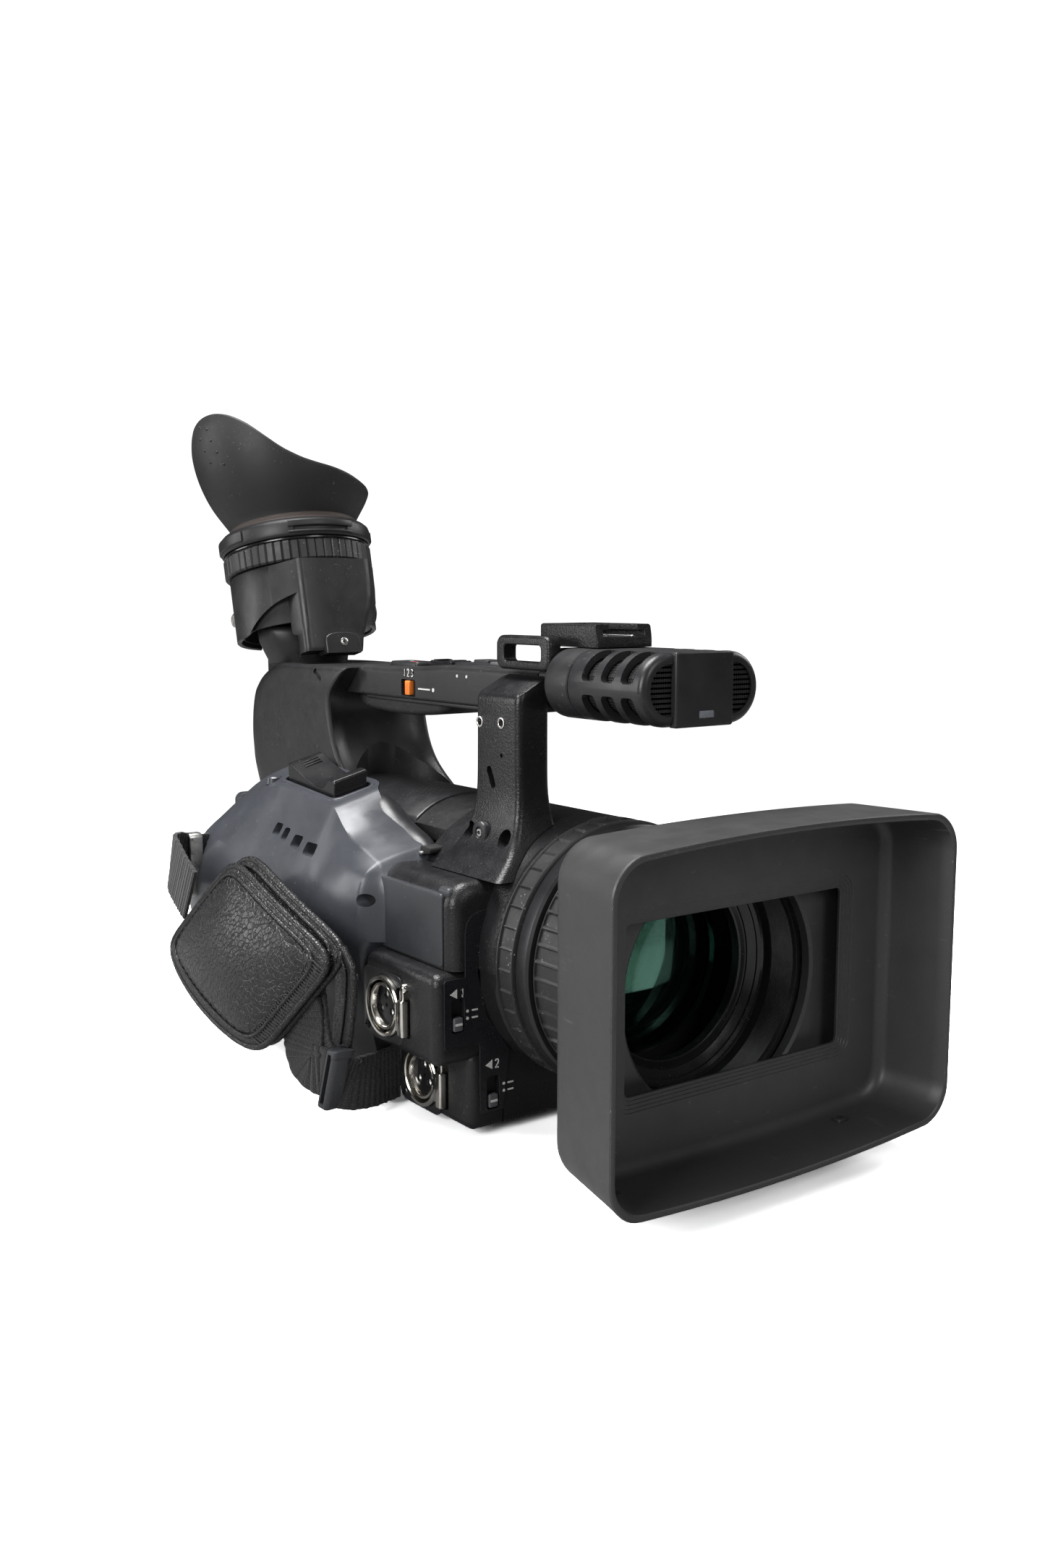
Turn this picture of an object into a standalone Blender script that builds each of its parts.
"""Hand-held video camcorder: die-cast front, shell body, side grip, top handle,
stereo microphone, tilting viewfinder and rectangular lens hood.

Frame: +Z up, -Y towards the scene being filmed, -X the side of the hand grip.
The origin is on the underside of the tripod plate.  Lengths are in millimetres
and are scaled by MM when vertices are made.  A span is a (low, high) pair.
"""
import math
from collections import namedtuple

import bmesh
import bpy
from mathutils import Vector

for old_object in list(bpy.data.objects):
    bpy.data.objects.remove(old_object, do_unlink=True)

MM = 0.001
GAP = 0.3                      # clearance between neighbouring pieces
RING_SEGMENTS = 40             # facets round the large rings
TOOL = "tool"                  # name of short-lived boolean operands

# Driving dimensions shared by several sections
AXIS_Z = 64.0                  # height of the optical axis
TUBE_R, TUBE_FRONT, TUBE_REAR = 47.6, -79.7, -20.0
BASE_T = 2.2                   # tripod plate thickness
SHELL_Z0 = BASE_T + GAP        # underside of the casing
BODY_X0, BODY_X1 = -46.0, 58.0
BODY_Y0, BODY_Y1 = TUBE_REAR + GAP, 124.0
COVER_R = TUBE_R * 0.98        # arch of the top cover, round the optical axis


# ------------------------------------------------------------------ materials
Finish = namedtuple("Finish", "name colour roughness metallic", defaults=[0.0])

PLASTIC = Finish("body_plastic", colour=(0.030, 0.030, 0.032), roughness=0.55)
CAST = Finish("cast_black", colour=(0.022, 0.022, 0.024), roughness=0.50, metallic=0.3)
GRIP_GREY = Finish("grip_blue_grey", colour=(0.090, 0.100, 0.125), roughness=0.50)
HOOD_BLACK = Finish("hood_black", colour=(0.028, 0.028, 0.029), roughness=0.60)
RUBBER = Finish("black_rubber", colour=(0.016, 0.016, 0.017), roughness=0.80)
GLOSS = Finish("gloss_black", colour=(0.012, 0.012, 0.013), roughness=0.22)
CHROME = Finish("chrome", colour=(0.78, 0.77, 0.74), roughness=0.18, metallic=1.0)
STEEL = Finish("screw_steel", colour=(0.55, 0.55, 0.54), roughness=0.32, metallic=1.0)
GLASS = Finish("coated_glass", colour=(0.030, 0.070, 0.055), roughness=0.05)
ORANGE = Finish("orange_plastic", colour=(0.85, 0.22, 0.03), roughness=0.45)
LEATHER = Finish("black_leather", colour=(0.020, 0.020, 0.021), roughness=0.52)
WEBBING = Finish("black_webbing", colour=(0.014, 0.014, 0.015), roughness=0.90)
SCREEN = Finish("display_glass", colour=(0.010, 0.012, 0.015), roughness=0.08)
BOARD = Finish("circuit_board", colour=(0.020, 0.140, 0.060), roughness=0.50)
ALU = Finish("black_aluminium", colour=(0.050, 0.050, 0.052), roughness=0.38, metallic=0.8)
RED = Finish("red_plastic", colour=(0.55, 0.03, 0.02), roughness=0.40)
GREY = Finish("control_grey", colour=(0.120, 0.120, 0.125), roughness=0.50)


def make_material(name, finish):
    made = bpy.data.materials.new(name)
    made.use_nodes = True
    inputs = made.node_tree.nodes["Principled BSDF"].inputs
    inputs["Base Color"].default_value = (*finish.colour, 1.0)
    inputs["Roughness"].default_value = finish.roughness
    inputs["Metallic"].default_value = finish.metallic
    return made


# --------------------------------------------------------------- mesh helpers
def around(centre, half):
    return (centre - half, centre + half)


def add_object(name, bm, finish, pivot):
    """Weld the mesh, face it outwards and link it with its origin at pivot."""
    bmesh.ops.remove_doubles(bm, verts=bm.verts, dist=1e-7)
    bmesh.ops.recalc_face_normals(bm, faces=bm.faces)
    if bm.calc_volume(signed=True) < 0:
        bmesh.ops.reverse_faces(bm, faces=bm.faces)
    origin = Vector(pivot) * MM
    bmesh.ops.translate(bm, verts=bm.verts, vec=-origin)
    mesh = bpy.data.meshes.new(name)
    bm.to_mesh(mesh)
    bm.free()
    piece = bpy.data.objects.new(name, mesh)
    piece.location = origin
    bpy.context.collection.objects.link(piece)
    if finish:
        mesh.materials.append(make_material(name + "_" + finish.name, finish))
    return piece


def add_ring(bm, points):
    return [bm.verts.new(Vector(point) * MM) for point in points]


def bridge(bm, first, second):
    """Join two equal rings of vertices with quads."""
    for i in range(len(first)):
        j = (i + 1) % len(first)
        bm.faces.new((first[i], first[j], second[j], second[i]))


def loft(name, rings, finish=None, closed=False, pivot=(0, 0, 0)):
    """Skin equal-length rings of points; caps the ends unless closed."""
    bm = bmesh.new()
    rings = [add_ring(bm, ring) for ring in rings]
    for first, second in zip(rings, rings[1:]):
        bridge(bm, first, second)
    if closed:
        bridge(bm, rings[-1], rings[0])
    else:
        bm.faces.new(rings[0])
        bm.faces.new(list(reversed(rings[-1])))
    return add_object(name, bm, finish, pivot)


def prism(name, outline, axis, span, finish=None, pivot=(0, 0, 0)):
    """Extrude an outline along an axis; its points hold the other two coordinates."""
    def place(first, second, along):
        return {"X": (along, first, second), "Y": (first, along, second),
                "Z": (first, second, along)}[axis]

    rings = [[place(first, second, along) for first, second in outline] for along in span]
    return loft(name, rings, finish, pivot=pivot)


def cylinder(name, centre, axis, radius, span, finish=None, segments=24, pivot=(0, 0, 0)):
    """Plain cylinder; centre gives the two coordinates across the axis."""
    angles = [2 * math.pi * i / segments for i in range(segments)]
    outline = [(centre[0] + radius * math.cos(angle), centre[1] + radius * math.sin(angle))
               for angle in angles]
    return prism(name, outline, axis, span, finish, pivot)


def box(name, x_span, y_span, z_span, finish=None, bevel=0.0, segments=1,
        pivot=(0, 0, 0), place=Vector):
    """Bevelled block; place maps its coordinates into the camera's frame."""
    bm = bmesh.new()
    bmesh.ops.create_cube(bm, size=1.0)
    for vert in bm.verts:
        point = [(low + high) / 2 + unit * (high - low)
                 for unit, (low, high) in zip(vert.co, (x_span, y_span, z_span))]
        vert.co = place(point) * MM
    if bevel:
        bmesh.ops.bevel(bm, geom=list(bm.edges), offset=bevel * MM,
                        segments=segments, profile=0.5, affect="EDGES")
    return add_object(name, bm, finish, pivot)


def rounded_rect(u_span, v_span, radius, steps):
    """Anticlockwise outline with the given number of steps round each corner."""
    (u0, u1), (v0, v1) = u_span, v_span
    radius = min(radius, (u1 - u0) / 2 - 1e-3, (v1 - v0) / 2 - 1e-3)
    points = []
    for centre_u, centre_v, start in (
            (u1 - radius, v1 - radius, 0), (u0 + radius, v1 - radius, 90),
            (u0 + radius, v0 + radius, 180), (u1 - radius, v0 + radius, 270)):
        for i in range(steps + 1):
            angle = math.radians(start + 90 * i / steps)
            points.append((centre_u + radius * math.cos(angle),
                           centre_v + radius * math.sin(angle)))
    return points


def upright_ring(y, half_width, z0, z1, radius, steps):
    """Rounded rectangle standing across the camera at y."""
    return [(x, y, z) for x, z in
            rounded_rect((-half_width, half_width), (z0, z1), radius, steps)]


def turned(name, profile, finish=None, origin=(0, 0, AXIS_Z), axis=(0, 1, 0),
           side=(1, 0, 0), other_side=(0, 0, 1), segments=RING_SEGMENTS, pivot=(0, 0, 0)):
    """Revolve a closed outline of (radius, distance along axis) points."""
    origin, axis, side, other_side = map(Vector, (origin, axis, side, other_side))
    bm = bmesh.new()
    rings = []
    for i in range(segments):
        angle = 2 * math.pi * i / segments
        spoke = side * math.cos(angle) + other_side * math.sin(angle)
        rings.append(add_ring(bm, [origin + spoke * radius + axis * along
                                   for radius, along in profile]))
    for i in range(segments):
        first, second = rings[i], rings[(i + 1) % segments]
        for j in range(len(profile)):
            k = (j + 1) % len(profile)
            # an outline edge lying on the axis sweeps no face
            if profile[j][0] < 1e-6 and profile[k][0] < 1e-6:
                continue
            bm.faces.new((first[j], first[k], second[k], second[j]))
    return add_object(name, bm, finish, pivot)


def combine(piece, tools, operation):
    """Apply exact booleans one after another, dropping each tool, then tidy the mesh."""
    for tool in tools:
        modifier = piece.modifiers.new("bool", "BOOLEAN")
        modifier.operation = operation
        modifier.solver = "EXACT"
        modifier.object = tool
        bpy.context.view_layer.update()
        depsgraph = bpy.context.evaluated_depsgraph_get()
        mesh = bpy.data.meshes.new_from_object(piece.evaluated_get(depsgraph))
        piece.modifiers.clear()
        old_mesh = piece.data
        materials = list(old_mesh.materials)
        piece.data = mesh
        if not mesh.materials and materials:
            mesh.materials.append(materials[0])
        bpy.data.meshes.remove(old_mesh)
        bpy.data.objects.remove(tool, do_unlink=True)
    bm = bmesh.new()
    bm.from_mesh(piece.data)
    bmesh.ops.dissolve_limit(bm, angle_limit=math.radians(0.05),
                             verts=bm.verts, edges=bm.edges)
    for face in bm.faces:
        face.material_index = 0
    bm.to_mesh(piece.data)
    bm.free()


def cut(piece, *tools):
    combine(piece, tools, "DIFFERENCE")


def fuse(piece, *tools):
    combine(piece, tools, "UNION")


def smooth(piece, angle=35):
    piece.data.shade_smooth()
    piece.data.set_sharp_from_angle(angle=math.radians(angle))
    return piece


# ------------------------------------------------------------ base and casing
CASE_WALL = 2.5
COVER_WALL = 2.6               # top cover
TRAY_X1 = BODY_X1 - 12         # +X side of the bottom case
LEFT_TOP = 96                  # top of the left cover
REAR_Y = 131                   # back face of the rear cover
BAY_X, BAY_Y = (-20, 22), 129  # battery recess: width and floor


def build_base_plate():
    plate = box("base_plate", (-32, 32), (-48, 52), (0, BASE_T), ALU, bevel=0.5)
    cut(plate, *[cylinder(TOOL, (0, y), "Z", radius, (-2, 5))
                 for y, radius in ((-18, 3.2), (22, 2.3))])


def build_bottom_case():
    tray = box("bottom_case", (BODY_X0, TRAY_X1), (BODY_Y0, BODY_Y1), (SHELL_Z0, 30),
               PLASTIC, bevel=1.0)
    cut(tray, box(TOOL, (BODY_X0 + CASE_WALL, TRAY_X1 - CASE_WALL),
                  (BODY_Y0 + CASE_WALL, BODY_Y1 - CASE_WALL), (5.2, 40)))


def cover_arc(radius, start):
    """Points (x, z) over the optical axis, from start to 40 degrees off vertical."""
    return [(radius * math.sin(math.radians(angle)),
             AXIS_Z + radius * math.cos(math.radians(angle)))
            for angle in range(start, 41, 4)]


def build_top_cover():
    """Arched shell that follows the tube behind the front casting."""
    arc = cover_arc(COVER_R, -36)
    bottom = LEFT_TOP + GAP
    outline = [(arc[0][0], bottom)] + arc + [(BODY_X1, 98.8), (BODY_X1, bottom)]
    cover = prism("top_cover", outline, "Y", (BODY_Y0, BODY_Y1), PLASTIC)
    arc = cover_arc(COVER_R - COVER_WALL, -33)
    cut(cover, prism(TOOL, [(arc[0][0], 90)] + arc + [(44, 96.2), (44, 90)], "Y",
                     (BODY_Y0 - 5, BODY_Y1 - CASE_WALL)))
    smooth(cover)


def build_left_cover():
    cover = box("left_cover", (TRAY_X1 + GAP, BODY_X1), (BODY_Y0, BODY_Y1),
                (SHELL_Z0, LEFT_TOP), PLASTIC, bevel=1.0)
    cut(cover, box(TOOL, (50, 90), (10, 107), (46, 120)))


def build_rear_cover():
    cover = box("rear_cover", (BODY_X0, BODY_X1), (BODY_Y1 + GAP, REAR_Y),
                (SHELL_Z0, 101), PLASTIC, bevel=1.6, segments=2)
    cut(cover, box(TOOL, BAY_X, (BAY_Y, 140), (20, 95)))


def build_rear_fittings():
    """Battery, its latch and the card door."""
    box("battery", (BAY_X[0] + 1, BAY_X[1] - 1), (BAY_Y + GAP, 151), (21, 78),
        PLASTIC, bevel=1.5, segments=2, pivot=(1, REAR_Y, 50))
    box("battery_latch", (-34, -27), (REAR_Y + GAP, 133.6), (44, 56), GREY,
        bevel=0.5, pivot=(-30, 132, 50))
    box("card_door", (27, 55), (131.6, 134.4), (20, 64), PLASTIC,
        bevel=1.2, pivot=(41, 133, 21.4))


def build_internals():
    box("main_board", (-38, -36.4), (0, 112), (8, 78), BOARD)
    box("sensor_block", (-24, 24), (-19, 8), (42, 86), ALU, bevel=2.0)


# ------------------------------------------- front casting and input terminals
BORE_R = 38.0
FRONT_Y = -69.5                # front face of the housing and the input block
BLOCK_Y = (FRONT_Y, TUBE_REAR - GAP)
UPPER_X, UPPER_TOP = (-65.0, -47), 61
LOWER_X, LOWER_TOP = (-51.0, -37), 31
SOCKET_SEGMENTS = 28
LATCH_OFFSET = -14.6           # latch centre from socket centre, along Y

# number: face x, centre y, centre z
SOCKETS = {"1": (UPPER_X[0], -35.7, 43.3), "2": (LOWER_X[0], -38.4, 15.0)}
# number: centre x, centre z
SWITCHES = {"1": (-56.3, 46.0), "2": (-41.6, 15.6)}


def build_front_housing():
    """Shoulder block and lens tube, with a stepped pocket on the grip side."""
    housing = prism("front_housing", rounded_rect((-58, 58), (FRONT_Y, 60), 7, 4), "Z",
                    (SHELL_Z0, 92), CAST)
    cut(housing, box(TOOL, (-80, 80), (TUBE_REAR, 90), (-5, 120)))
    fuse(housing, cylinder(TOOL, (0, AXIS_Z), "Y", TUBE_R, (TUBE_FRONT, TUBE_REAR),
                           segments=RING_SEGMENTS))
    cut(housing,
        cylinder(TOOL, (0, AXIS_Z), "Y", BORE_R, (-100, 0), segments=RING_SEGMENTS),
        box(TOOL, (-90, UPPER_X[1] + GAP), (-90, 0), (-5, UPPER_TOP + GAP)),
        box(TOOL, (-90, LOWER_X[1] + GAP), (-90, 0), (-5, LOWER_TOP + GAP)))


def build_input_block():
    """Two stepped terminal bosses, one above the other."""
    block = box("input_block", UPPER_X, BLOCK_Y, (28, UPPER_TOP), CAST,
                bevel=1.6, segments=2)
    fuse(block, box(TOOL, LOWER_X, BLOCK_Y, (SHELL_Z0, LOWER_TOP), bevel=1.2))
    tools = []
    for x, y, z in SOCKETS.values():
        tools.append(cylinder(TOOL, (y, z), "X", 11.5, (x - 9, x + 12),
                              segments=SOCKET_SEGMENTS))
        tools.append(box(TOOL, (x - 9, x + 2.6), around(y + LATCH_OFFSET, 2.0),
                         around(z, 7)))
    for x, z in SWITCHES.values():
        tools.append(box(TOOL, around(x, 2.6), (-75, -67.5), around(z, 6)))
    cut(block, *tools)


def build_socket(number, x, y, z):
    """Socket with a ring groove and three pin holes, and the latch beside it."""
    socket = cylinder("xlr_socket_" + number, (y, z), "X", 11.2, (x - 1.2, x + 11.7),
                      CHROME, SOCKET_SEGMENTS)
    groove = turned(TOOL, [(8.0, -9), (9.6, -9), (9.6, 6), (8.0, 6)], origin=(x, y, z),
                    axis=(1, 0, 0), side=(0, 1, 0), other_side=(0, 0, 1),
                    segments=SOCKET_SEGMENTS)
    pin_circle_r = 4.2
    holes = []
    for degrees in (90, 210, 330):
        angle = math.radians(degrees)
        centre = (y + pin_circle_r * math.cos(angle), z + pin_circle_r * math.sin(angle))
        holes.append(cylinder(TOOL, centre, "X", 1.5, (x - 9, x + 8), segments=8))
    cut(socket, groove, *holes)
    smooth(socket)
    latch_y = y + LATCH_OFFSET
    box("xlr_latch_" + number, (x - 2.3, x + 0.8), around(latch_y, 1.6), around(z, 6.5),
        CHROME, bevel=0.5, pivot=(x, latch_y, z))


def build_terminals():
    for number, place in SOCKETS.items():
        build_socket(number, *place)
    for number, (x, z) in SWITCHES.items():
        box("input_switch_" + number, around(x, 1.8), (-70.3, -67.9), (z - 5.5, z - 0.5),
            GREY, bevel=0.3, pivot=(x, -69, z - 3))


# ----------------------------------------------------------- right-hand grip
GRIP_WALL = 2.6
RECORD_X, RECORD_Z = -59, 62   # record button on the back of the grip

# y, top z, top edge x, widest x, lower x, bottom z
GRIP_STATIONS = [
    (-19.7, 93.5, -50, -66.5, -59.5, 12),
    (-6.0, 97.0, -53, -73.5, -62.0, 11),
    (8.0, 104.0, -56, -77.5, -64.5, 10),
    (19.0, 112.5, -58, -79.5, -66.0, 10),
    (30.0, 114.2, -59, -80.5, -67.0, 10),
    (60.0, 114.6, -60, -82.0, -68.0, 10),
    (76.0, 114.6, -60, -82.0, -68.0, 10),
    (88.0, 112.0, -60, -81.5, -68.0, 10),
    (98.0, 107.6, -60, -80.5, -67.5, 10),
    (108.0, 101.0, -59, -78.0, -67.0, 11),
    (117.0, 91.5, -57, -74.0, -65.0, 13),
    (124.0, 80.0, -54, -69.0, -62.0, 16),
]
# side outline (y, z)
GRIP_ROCKER = [
    (31, 103.5), (31, 116), (34, 119.5), (40, 119.0), (44, 115.6), (52, 114.6),
    (60, 115.2), (67, 117.8), (72, 118.8), (74, 116.5), (74, 103.5)]


def grip_ring(y, top_z, top_x, wide_x, low_x, bottom_z, inset=0.0):
    """Cross-section of the grip at y; an inset one closes at a plane inside the body."""
    top_z -= inset
    bottom_z += inset
    wide_z = top_z - 22 + inset

    def down(share):
        return wide_z + (bottom_z - wide_z) * share

    side = [(top_x + inset, top_z), (top_x - 9 + inset, top_z - 1.5),
            (top_x - 16 + inset * 1.1, top_z - 8), (wide_x + inset, wide_z),
            (wide_x - 0.5 + inset, down(0.3)), (wide_x + 2 + inset, down(0.515)),
            ((wide_x + low_x) / 2 + inset, down(0.71)), (low_x + inset, down(0.88)),
            (low_x + 5 + inset, bottom_z)]
    side = [(max(x, wide_x + inset - 0.5), y, z) for x, z in side]
    if inset:
        return [(-20, y, top_z)] + side + [(-20, y, bottom_z)]
    return ([(-30.3, y, top_z)] + side
            + [(-46.3, y, bottom_z), (-46.3, y, 60), (-30.3, y, 75)])


def moved_forward(ring, distance):
    return [(x, y - distance, z) for x, y, z in ring]


def build_grip_shell():
    """Domed, hollow grip, open at the front and towards the body."""
    grip = loft("grip_shell", [grip_ring(*station) for station in GRIP_STATIONS], GRIP_GREY)
    cavity = [grip_ring(*station, inset=GRIP_WALL) for station in GRIP_STATIONS]
    cavity[0] = moved_forward(cavity[0], 4)
    cavity[-1] = moved_forward(cavity[-1], GRIP_WALL)
    cut(grip, loft(TOOL, cavity))
    # opening for the zoom rocker, then the button hole and the strap slot
    cut(grip, box(TOOL, (-51.3, -33.7), (28.6, 76.4), (100, 125)))
    cut(grip, cylinder(TOOL, (RECORD_X, RECORD_Z), "Y", 6.4, (118, 130), segments=16),
        box(TOOL, (-90, -70), (101.5, 106.5), (62, 92)))
    smooth(grip, 25)


def build_grip_controls():
    prism("grip_zoom_rocker", GRIP_ROCKER, "X", (-50, -35), GLOSS, (-42.5, 52.5, 106.0))
    cylinder("record_button", (RECORD_X, RECORD_Z), "Y", 6.0, (119.5, 126.2), RED, 16,
             (RECORD_X, 122, RECORD_Z))


# ----------------------------------------------------------------------- lens
# name, finish, pivot, profile as (radius, y)
LENS_PARTS = [
    ("lens_barrel", ALU, (0, 0, 0), [
        (31.0, -21.5), (31.0, -113.4), (40.2, -113.4), (40.2, -122.0), (40.6, -136.0),
        (46.6, -136.0), (46.6, -130.6), (41.9, -130.6), (41.9, -96.9), (44.4, -96.9),
        (46.9, -90.4), (43.6, -90.4), (43.6, -80.1), (37.6, -80.1), (37.6, -21.5)]),
    ("zoom_ring", PLASTIC, (0, -85, AXIS_Z), [
        (43.9, -90.0), (47.2, -90.0), (47.8, -89.4), (47.8, -81.0), (47.2, -80.2),
        (43.9, -80.2)]),
    ("focus_ring", RUBBER, (0, -114, AXIS_Z), [
        (42.2, -130.2), (43.8, -130.2), (44.6, -129.4), (44.6, -98.2), (44.0, -97.3),
        (42.2, -97.3)]),
    ("front_trim_ring", GLOSS, (0, 0, 0), [
        (31.4, -117.2), (31.4, -113.8), (39.8, -113.8), (39.8, -121.5), (38.6, -121.5)]),
    ("front_element", GLASS, (0, 0, 0), [
        (0, -98.0), (30.6, -98.0), (30.6, -105.6), (26.0, -108.0), (20.0, -110.2),
        (13.0, -111.9), (6.5, -112.9), (0, -113.2)]),
]


def build_lens():
    for name, finish, pivot, profile in LENS_PARTS:
        smooth(turned(name, profile, finish, pivot=pivot))


# ----------------------------------------------------------------------- hood
HOOD_FRONT, HOOD_REAR = -175.0, -139.0
HOOD_HALF_FRONT, HOOD_HALF_REAR = 75.0, 68.0   # half widths
HOOD_WALL = 2.2
HOOD_HOLE_R = 47.6
HOOD_MID_Z, HOOD_HALF_HEIGHT = 66.0, 54        # scaling centre and size of the back
OPENING_X, OPENING_Z = (-47.6, 47.6), (37.7, 91.8)
BAFFLE_Y, BAFFLE_T = -150.0, 2.4


def hood_ring(y, inset=0.0):
    """Rounded rectangle with arched top and bottom, tapering to the rear."""
    share = (y - HOOD_FRONT) / (HOOD_REAR - HOOD_FRONT)
    half = HOOD_HALF_FRONT + (HOOD_HALF_REAR - HOOD_HALF_FRONT) * share - inset
    bottom = 12.7 + 1.5 * share + inset
    top = 118.2 + 0.6 * share - inset
    corners = rounded_rect((-half, half), (bottom, top), 12 - inset * 0.6, 5)
    points = []
    for i, (x, z) in enumerate(corners):
        points.append((x, z))
        next_x, next_z = corners[(i + 1) % len(corners)]
        # extra points along the arched top and bottom
        if abs(next_x - x) > half:
            for k in range(1, 8):
                points.append((x + (next_x - x) * k / 8, z + (next_z - z) * k / 8))
    bulge = 3.2 - 1.4 * share
    middle = (bottom + top) / 2
    return [(x, y, z + bulge * (1 - (x / half) ** 2) * (z - middle) / (top - middle))
            for x, z in points]


def hood_back_ring(y, inset):
    """Hood section scaled in towards its middle, for the rounded back edge."""
    return [(x * (1 - inset / HOOD_HALF_REAR), y,
             HOOD_MID_Z + (z - HOOD_MID_Z) * (1 - inset / HOOD_HALF_HEIGHT))
            for x, _, z in hood_ring(-141)]


def build_lens_hood():
    hood = loft("lens_hood", [hood_ring(HOOD_FRONT), hood_ring(-143.0),
                              hood_back_ring(-139.6, 1.2),
                              hood_back_ring(HOOD_REAR + 0.8, 4.5)], HOOD_BLACK)
    cut(hood, loft(TOOL, [hood_ring(-180, HOOD_WALL), hood_ring(-141.6, HOOD_WALL)]))
    cut(hood, cylinder(TOOL, (0, AXIS_Z), "Y", HOOD_HOLE_R, (-150, -130),
                       segments=RING_SEGMENTS))
    smooth(hood, 30)


def build_hood_baffle():
    inset = HOOD_WALL + 0.5
    baffle = loft("hood_baffle", [hood_ring(BAFFLE_Y, inset),
                                  hood_ring(BAFFLE_Y + BAFFLE_T, inset)], HOOD_BLACK)
    cut(baffle, prism(TOOL, rounded_rect(OPENING_X, OPENING_Z, 2.5, 3), "Y",
                      (BAFFLE_Y - 5, BAFFLE_Y + 8)))


# --------------------------------------------------------------------- handle
BEAM_HALF = 15.5

# z, x span, y span, rise per mm of x
ARM_STATIONS = [
    (92.4, (-45, -10), (-78, -34), 0), (99, (-38, -12), (-75, -38), 0),
    (108, (-32.5, -14), (-71.5, -40.5), 0), (122, (-30, -15.8), (-69.5, -42), 0),
    (153.5, (-30, -15.8), (-69, -42.5), 0), (155.0, (-30, -15.8), (-69, -42.5), 0.55)]
# y, bottom z, top z
BEAM_STATIONS = [(-60.3, 148.3, 163.3), (0, 148, 163), (25, 148, 161),
                 (48, 148, 160.5), (66, 148, 160.8)]
# y, bottom z, half width
GRIP_PAD_STATIONS = [(4, 145.6, 9), (12, 142.6, 12), (40, 141.2, 13), (66, 142.4, 12.6),
                     (76, 145.4, 10)]
# side outline (y, z)
HANDLE_ROCKER = [(11, 159.4), (11, 163.4), (14, 164.2), (19, 163.0), (24, 164.2),
                 (27, 163.4), (27, 159.4)]
# z, front y, back y, half width
PILLAR_STATIONS = [
    (100, 42, 166, 25), (106, 52, 169, 25), (112, 61, 171.5, 25), (118, 68, 172.5, 25),
    (126, 73.5, 173.5, 25), (136, 77, 172.5, 25), (143, 78, 170, 25),
    (148.0, 78, 165.5, 25), (148.4, 66.3, 165.2, 25), (153, 66.3, 159.5, 25),
    (157, 66.3, 151, 24.5), (159.4, 66.8, 143, 22.5)]


def build_handle_arm():
    """Front arm of the handle, standing on the lens tube."""
    rings = [[(x, y, z + slope * (x - x_span[0]))
              for x, y in rounded_rect(x_span, y_span, 2.5, 2)]
             for z, x_span, y_span, slope in ARM_STATIONS]
    arm = loft("handle_arm", rings, CAST)
    cut(arm, cylinder(TOOL, (0, AXIS_Z), "Y", TUBE_R + GAP, (-100, 0),
                      segments=RING_SEGMENTS))
    cut(arm, *[cylinder(TOOL, centre, "X", 2.6, (-50, -22), segments=12)
               for centre in ((-47.5, 106.5), (-68.0, 106.0))])


def build_strap_loop():
    loop = prism("strap_loop", rounded_rect((-75.5, -43), (164.5, 176), 3.5, 3), "X",
                 (-20.5, -16), CAST)
    cut(loop, prism(TOOL, rounded_rect((-70.5, -48), (167.2, 172.8), 1.5, 2), "X",
                    (-30, -10)))


def build_handle_beam():
    beam = loft("handle_beam", [upright_ring(y, BEAM_HALF, z0, z1, 2.5, 3)
                                for y, z0, z1 in BEAM_STATIONS], PLASTIC)
    # recesses for the side switch, the zoom rocker and the record button
    cut(beam, box(TOOL, (-20, -13.2), (21.5, 32.5), (149.2, 156.4)),
        box(TOOL, (-5.6, 5.6), (10.4, 27.6), (158.6, 170)),
        box(TOOL, (-6.4, 6.4), (35.4, 58.6), (158.4, 170)))
    smooth(beam, 30)


def build_handle_controls():
    box("handle_speed_switch", (-16.2, -13.6), (25.4, 28.6), (149.8, 155.8), ORANGE,
        bevel=0.3, pivot=(-15, 27, 152.8))
    prism("handle_zoom_rocker", HANDLE_ROCKER, "X", (-5, 5), GLOSS, (0, 19, 160.4))
    box("handle_record_button", (-5.8, 5.8), (36, 58), (159.2, 162.4), PLASTIC,
        bevel=0.6, pivot=(0, 47, 160.5))


def build_handle_grip_pad():
    smooth(loft("handle_grip_pad", [upright_ring(y, half, z0, 147.7, 2.0, 2)
                                    for y, z0, half in GRIP_PAD_STATIONS], RUBBER))


def pillar_ring(z, front_y, back_y, half):
    """Flat front, parallel sides and a half-oval back, seen from above."""
    points = [(-half, front_y, z), (half, front_y, z)]
    for i in range(13):
        angle = math.pi * i / 12
        cosine, sine = math.cos(angle), math.sin(angle)
        points.append((half * math.copysign(abs(cosine) ** 0.9, cosine),
                       back_y - 30 + 30 * sine ** 0.9, z))
    return points


def build_rear_pillar():
    """Rear support of the handle, fitted over the casing and hollowed by a scoop."""
    pillar = loft("rear_pillar", [pillar_ring(*station) for station in PILLAR_STATIONS],
                  PLASTIC)
    cut(pillar,
        cylinder(TOOL, (0, AXIS_Z), "Y", COVER_R + GAP, (0, 124.1), segments=80),
        box(TOOL, (-40, 40), (50, 124.1), (80, 100)),
        box(TOOL, (-40, 40), (110, 131.4), (80, 101.3)),
        cylinder(TOOL, (0.5, 54), "Z", 22.5, (95, 146), segments=28))
    smooth(pillar, 28)


# ------------------------------------------------- accessory shoe, microphone
MIC_HALF, MIC_Z0, MIC_Z1 = 26, 148, 172


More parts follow.
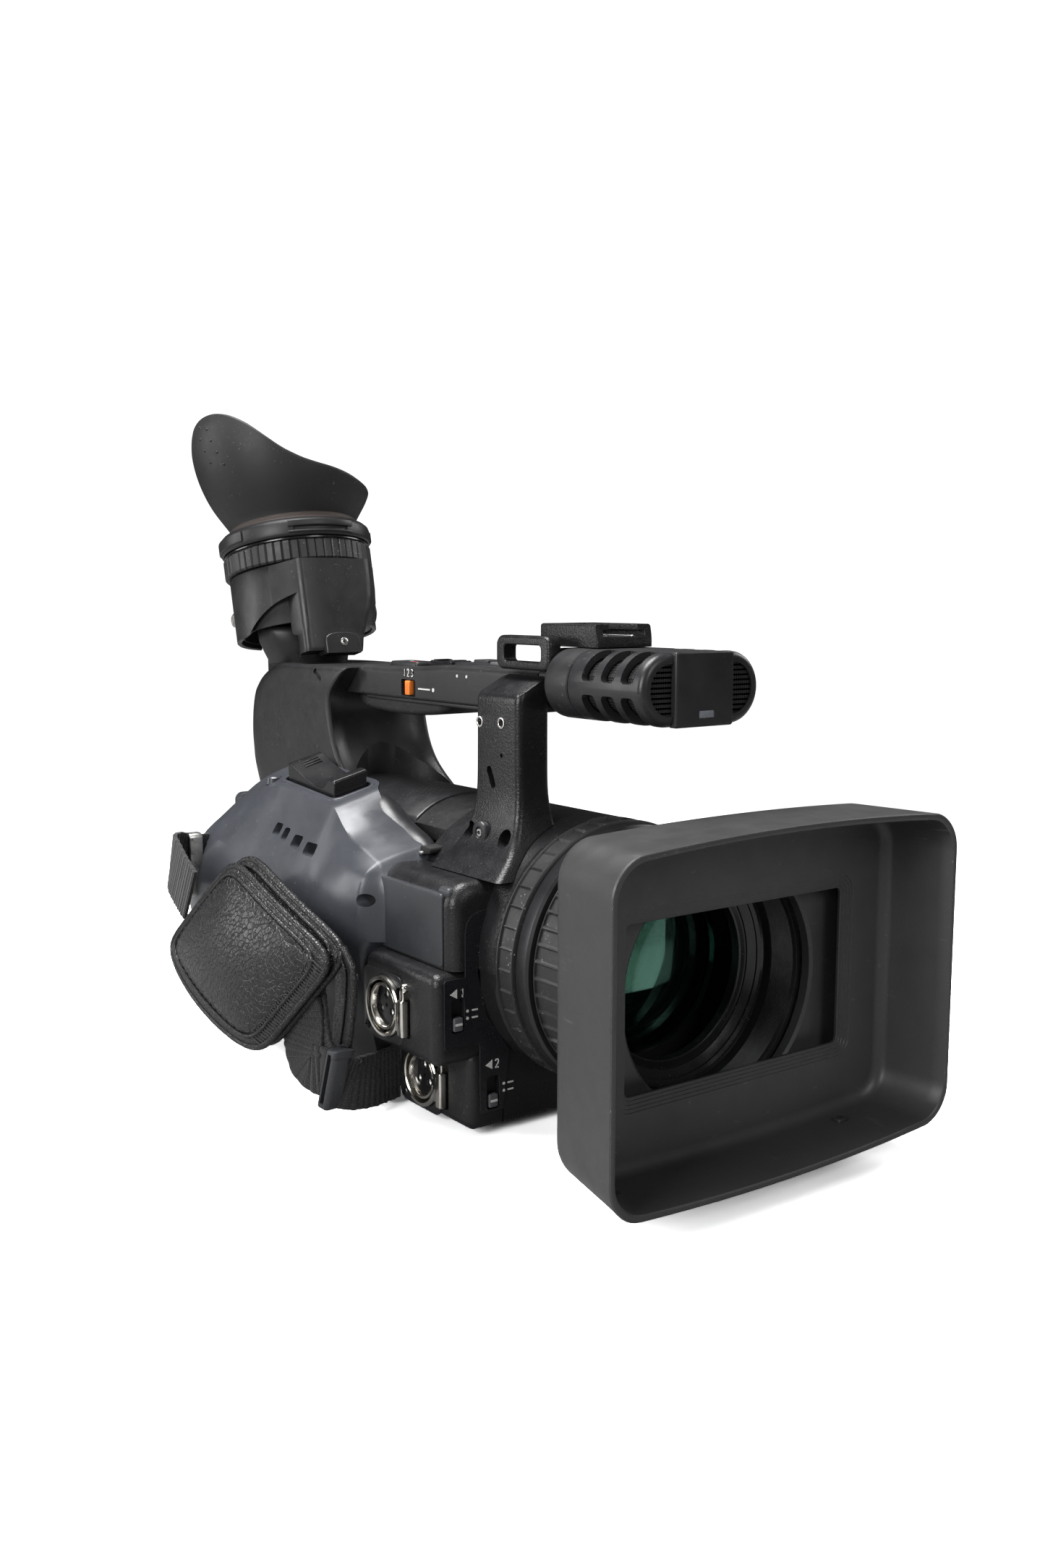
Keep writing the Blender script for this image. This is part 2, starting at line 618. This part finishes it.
def stadium(y, half_width=MIC_HALF, z0=MIC_Z0, z1=MIC_Z1):
    """Upright ring with fully rounded sides."""
    return upright_ring(y, half_width, z0, z1, (z1 - z0) / 2, 6)


def build_accessory_shoe():
    shoe = box("accessory_shoe", (-12.5, 12.5), (-91, -58), (MIC_Z1 + GAP, 180.3), CAST,
               bevel=0.8)
    cut(shoe, box(TOOL, (-9.35, 9.35), (-95, -60.5), (176.0, 178.3)),
        box(TOOL, (-6.3, 6.3), (-95, -60.5), (177, 190)))


def build_mic_pod():
    """Hollow front pod with slots above and below on both sides."""
    pod = loft("mic_pod", [stadium(-129.2, 25.2, 148.8, 171.2), stadium(-128),
                           stadium(-91.2)], PLASTIC)
    cut(pod, loft(TOOL, [stadium(y, 23.6, 150.4, 169.6) for y in (-140, -93.2)]))
    slots = [box(TOOL, x_span, y_span, z_span)
             for y_span in ((-105.5, -98.5), (-115.5, -108.5), (-125.0, -118.5))
             for x_span in ((-30.0, -15.0), (15.0, 30.0))
             for z_span in ((162.0, 175.0), (145.0, 157.5))]
    cut(pod, *slots)
    smooth(pod, 30)


def build_microphone():
    smooth(loft("mic_mount", [stadium(-90.9), stadium(-78.4),
                              stadium(-76.2, 14.8, 148.6, 171.5),
                              stadium(-60.6, 14.8, 149, 171.4)], PLASTIC))
    build_mic_pod()
    smooth(loft("mic_core", [stadium(y, 23.2, 150.8, 169.2) for y in (-128.4, -93.6)],
                RUBBER))
    prism("mic_front_plate", rounded_rect((-12.9, 12.9), (MIC_Z0, MIC_Z1), 0.8, 2), "Y",
          (-131, -129.5), GLOSS)


# ----------------------------------------------------------------- viewfinder
EVF_LEAN = math.radians(13.0)  # tube axis leans back from the vertical
EVF_ORIGIN = Vector((0, 144.5, 174.0))
EVF_AXIS = Vector((0, math.sin(EVF_LEAN), math.cos(EVF_LEAN)))
EVF_FORWARD = Vector((0, -math.cos(EVF_LEAN), math.sin(EVF_LEAN)))


def evf_point(point):
    """Map tube coordinates (x, along, forward) into the camera's frame."""
    x, along, forward = point
    return EVF_ORIGIN + EVF_AXIS * along + EVF_FORWARD * forward + Vector((x, 0, 0))


HINGE = evf_point((0, 8.0, -16.0))
HINGE_HOLE_R = 2.8

# name, finish, pivot, profile as (radius, distance along the tube)
EVF_RINGS = [
    ("diopter_ring", RUBBER, evf_point((0, 31, 0)), [
        (30.5, 26.1), (34.4, 26.1), (34.9, 26.7), (34.9, 34.9), (34.4, 35.5),
        (30.5, 35.5)]),
    ("eyecup_ring", PLASTIC, HINGE, [
        (30.5, 37.2), (34.6, 37.2), (35.6, 38.2), (35.6, 43.0), (34.2, 46.0),
        (30.5, 46.0)]),
    ("eyepiece_lens", GLASS, HINGE, [
        (0, 38.0), (26.6, 38.0), (26.6, 41.0), (18, 43.0), (9, 44.2), (0, 44.6)]),
]
EVF_BODY = [(30.5, 0), (33.0, 0), (33.0, 25.7), (30.2, 25.7), (30.2, 46.0), (27.0, 46.0),
            (27.0, 22.5), (30.5, 20.5)]

CUP_SEGMENTS, CUP_STEPS = 28, 7
CUP_BASE, CUP_WALL = 46.4, 2.2


def evf_turned(name, finish, pivot, profile):
    return smooth(turned(name, profile, finish, EVF_ORIGIN, EVF_AXIS, (1, 0, 0),
                         EVF_FORWARD, pivot=pivot))


def build_evf_bracket():
    """Bracket with a rounded hinge eye, and the pin through it."""
    eye = [(HINGE.y + 7 * math.cos(math.radians(angle)),
            HINGE.z + 7 * math.sin(math.radians(angle))) for angle in range(0, 181, 30)]
    outline = ([(136, 159.8), (143.4, 159.8), (151.4, 157.3), (160.0, 153.4),
                (165.8, 149.4), (168.5, 149.4)] + eye
               + [(HINGE.y - 8, 165.0), (HINGE.y - 10, 163.0), (136, 162.4)])
    bracket = prism("evf_bracket", outline, "X", (-9, 9), CAST)
    cut(bracket, cylinder(TOOL, HINGE.yz, "X", HINGE_HOLE_R, (-20, 20), segments=12))
    cylinder("evf_pin", HINGE.yz, "X", 2.5, (-29.0, 29.0), STEEL, 12, HINGE)


def build_evf_body():
    """Tube with a raised front panel and a side boss, slotted for the bracket."""
    tube = evf_turned("evf_body", PLASTIC, HINGE, EVF_BODY)
    fuse(tube,
         box(TOOL, (-19.6, 18.0), (-15, 25.4), (31.2, 35.6), bevel=0.8, place=evf_point),
         cylinder(TOOL, evf_point((0, 8, 2)).yz, "X", 7.5, (31.2, 35.0), segments=16))
    cut(tube, box(TOOL, (-9.5, 9.5), (-2, 19.5), (-40, -18), place=evf_point),
        cylinder(TOOL, HINGE.yz, "X", HINGE_HOLE_R, (-40, 40), segments=12))
    smooth(tube, 30)


def cup_rim(angle):
    """Distance of the rim along the tube; greatest on the -X side."""
    return 64.0 + 40.0 * ((1 - math.cos(angle)) / 2) ** 2.4


def cup_radius(along, angle):
    """Outer radius: flares from the base, then curls in near the tip."""
    flare = max(0.0, min(1.0, (along - CUP_BASE) / 41.0))
    side = (1 - math.cos(angle)) / 2
    full = 38.0 + 7.0 * side + 1.5 * abs(math.cos(angle))
    radius = 31.0 + (full - 31.0) * flare ** 0.75
    curl = max(0.0, along - 90.0)
    return radius - 0.030 * curl ** 2


def cup_ring(step, wall):
    ring = []
    for j in range(CUP_SEGMENTS):
        angle = 2 * math.pi * j / CUP_SEGMENTS
        along = CUP_BASE + (cup_rim(angle) - CUP_BASE) * step / (CUP_STEPS - 1)
        radius = cup_radius(along, angle) - wall
        ring.append(evf_point((radius * math.cos(angle), along, radius * math.sin(angle))))
    return ring


def build_eyecup():
    """Moulded cup: up the outside and back down the inside."""
    rings = [cup_ring(i, 0.0) for i in range(CUP_STEPS)]
    rings += [cup_ring(i, CUP_WALL) for i in reversed(range(CUP_STEPS))]
    smooth(loft("eyecup", rings, RUBBER, closed=True, pivot=HINGE), 60)


def build_viewfinder():
    build_evf_bracket()
    build_evf_body()
    for part in EVF_RINGS:
        evf_turned(*part)
    build_eyecup()


# ------------------------------------------- side display and side controls
LCD_X, LCD_Y = 56.0, 16.5      # hinge axis
LCD_Z = (48, 95.4)
LCD_PIVOT = (LCD_X, LCD_Y, 72)
CONTROL_X0 = BODY_X1 + GAP

# name, (y, z), radius, outer x, finish, segments
KNOBS = [
    ("audio_knob_1", (24, 32), 6.0, 63.5, GREY, 20),
    ("audio_knob_2", (42, 32), 6.0, 63.5, GREY, 20),
    ("iris_dial", (-6, 60), 8.0, 61.8, RUBBER, 24),
    ("mode_dial", (98, 24), 8.5, 62.0, PLASTIC, 24),
]


def build_display():
    hinge = cylinder("lcd_hinge", (LCD_X, LCD_Y), "Z", 5.4, LCD_Z, PLASTIC, 20, LCD_PIVOT)
    fuse(hinge, box(TOOL, (52.5, 59.5), (LCD_Y, 22.7), (54, 90), bevel=0.6))
    smooth(hinge)
    panel = box("lcd_panel", (50.5, 61.5), (23, 105), LCD_Z, PLASTIC,
                bevel=1.6, segments=2, pivot=LCD_PIVOT)
    cut(panel, box(TOOL, (40, 51.9), (29.6, 99.4), (52.6, 91.4)))
    box("lcd_screen", (50.9, 51.6), (30, 99), (53, 91), SCREEN, pivot=LCD_PIVOT)


def build_side_controls():
    for name, centre, radius, outer_x, finish, segments in KNOBS:
        cylinder(name, centre, "X", radius, (CONTROL_X0, outer_x), finish, segments,
                 (60, *centre))
    box("nd_switch", (CONTROL_X0, 60.6), (-9, -3), (78, 83), GREY, bevel=0.4,
        pivot=(59, -6, 80.5))


# ----------------------------------------------------------------- hand strap
PAD_TOP_REAR, PAD_TOP_FRONT = (-87.5, 38, 88), (-83.5, -31, 63)
PAD_LOW_REAR, PAD_LOW_FRONT = (-98.0, 81, 47), (-97.5, 4, 22)
PAD_OUTWARD = Vector((-0.93, -0.12, 0.34)).normalized()
PAD_SEGMENTS = 28
# height through the thickness, inset of the outline
PAD_LEVELS = [(-2.6, 0.06), (-1.6, 0.01), (1.2, 0.01), (2.6, 0.06)]
PAD_FACE = 2.8                 # height of the inner rings on either face

# webbing paths: point, width direction
REAR_PATH = [
    ((-82.8, 103.0, 84), (0.0, -0.35, 1)), ((-86.2, 101.0, 82.5), (0, -0.35, 1)),
    ((-89.2, 93.0, 78.5), (0.1, -0.3, 1)), ((-91.2, 82.0, 74), (0.1, -0.2, 1)),
    ((-92.4, 71.5, 70.5), (0.1, -0.1, 1))]
LOWER_PATH = [
    ((-90.6, -11.5, 25.5), (0.2, 0.35, 0.9)), ((-88.0, -19.0, 19.0), (0.1, 0.2, 1)),
    ((-83.0, -27.0, 16.0), (0, 0.1, 1)), ((-74.5, -28.5, 15.6), (0, 0, 1)),
    ((-65.0, -26.5, 15.5), (0, 0, 1)), ((-58.0, -24.0, 15.2), (0, 0, 1)),
    ((-52.4, -23.2, 15.2), (0, 0, 1))]
WEB_T = 2.0


def blend(start, end, share):
    return [low + (high - low) * share for low, high in zip(start, end)]


def pad_point(forward, down, height):
    """Point on the domed pad; forward and down run from 0 to 1 over its face."""
    flat = blend(blend(PAD_TOP_REAR, PAD_TOP_FRONT, forward),
                 blend(PAD_LOW_REAR, PAD_LOW_FRONT, forward), down)
    dome = 6.0 * (4 * forward * (1 - forward)) * (0.35 + 0.65 * 4 * down * (1 - down))
    return [flat[i] + PAD_OUTWARD[i] * (height + dome) for i in range(3)]


def pad_outline(height, inset):
    """Rounded-square outline of the pad, pulled in by inset."""
    points = []
    for i in range(PAD_SEGMENTS):
        angle = 2 * math.pi * i / PAD_SEGMENTS
        cosine, sine = math.cos(angle), math.sin(angle)
        reach = (abs(cosine) ** 5 + abs(sine) ** 5) ** (-1 / 5)
        points.append(pad_point(0.5 + (0.5 - inset) * reach * cosine,
                                0.5 + (0.5 - inset) * reach * sine, height))
    return points


def build_strap_pad():
    bm = bmesh.new()
    rings = [add_ring(bm, pad_outline(height, inset)) for height, inset in PAD_LEVELS]
    for first, second in zip(rings, rings[1:]):
        bridge(bm, first, second)
    # each face closes through two inner rings to a centre point
    for edge, height in ((rings[0], -PAD_FACE), (rings[-1], PAD_FACE)):
        chain = [edge] + [add_ring(bm, pad_outline(height, inset)) for inset in (0.2, 0.38)]
        for first, second in zip(chain, chain[1:]):
            bridge(bm, first, second)
        centre = bm.verts.new(Vector(pad_point(0.5, 0.5, height)) * MM)
        last = chain[-1]
        for j in range(PAD_SEGMENTS):
            bm.faces.new((last[j], last[(j + 1) % PAD_SEGMENTS], centre))
    smooth(add_object("strap_pad", bm, LEATHER, (0, 0, 0)), 50)


def band(name, path, width, thickness, finish=None):
    """Flat webbing along a path of (point, width direction)."""
    rings = []
    for i, (point, across) in enumerate(path):
        before = Vector(path[max(i - 1, 0)][0])
        after = Vector(path[min(i + 1, len(path) - 1)][0])
        along = (after - before).normalized()
        across = (Vector(across) - along * Vector(across).dot(along)).normalized()
        normal = along.cross(across)
        rings.append([Vector(point) + across * (width / 2 * j) + normal * (thickness / 2 * k)
                      for j, k in ((1, 1), (-1, 1), (-1, -1), (1, -1))])
    return smooth(loft(name, rings, finish), 40)


def build_strap_webs():
    band("strap_rear_web", REAR_PATH, 22, WEB_T, WEBBING)
    band("strap_lower_web", LOWER_PATH, 24, WEB_T, WEBBING)


def build_strap_buckle():
    buckle = box("strap_buckle", (-86, -72), (-33.0, -22.5), (1.8, 30.4), GLOSS, bevel=0.8)
    cut(buckle, band(TOOL, LOWER_PATH, 24.8, 2.8))


# ------------------------------------------------------------------- assembly
build_base_plate()
build_bottom_case()
build_front_housing()
build_input_block()
build_terminals()
build_top_cover()
build_left_cover()
build_rear_cover()
build_grip_shell()
build_grip_controls()
build_internals()
build_lens()
build_lens_hood()
build_hood_baffle()
build_handle_arm()
build_strap_loop()
build_handle_beam()
build_handle_controls()
build_handle_grip_pad()
build_rear_pillar()
build_accessory_shoe()
build_microphone()
build_viewfinder()
build_display()
build_side_controls()
build_rear_fittings()
build_strap_pad()
build_strap_webs()
build_strap_buckle()
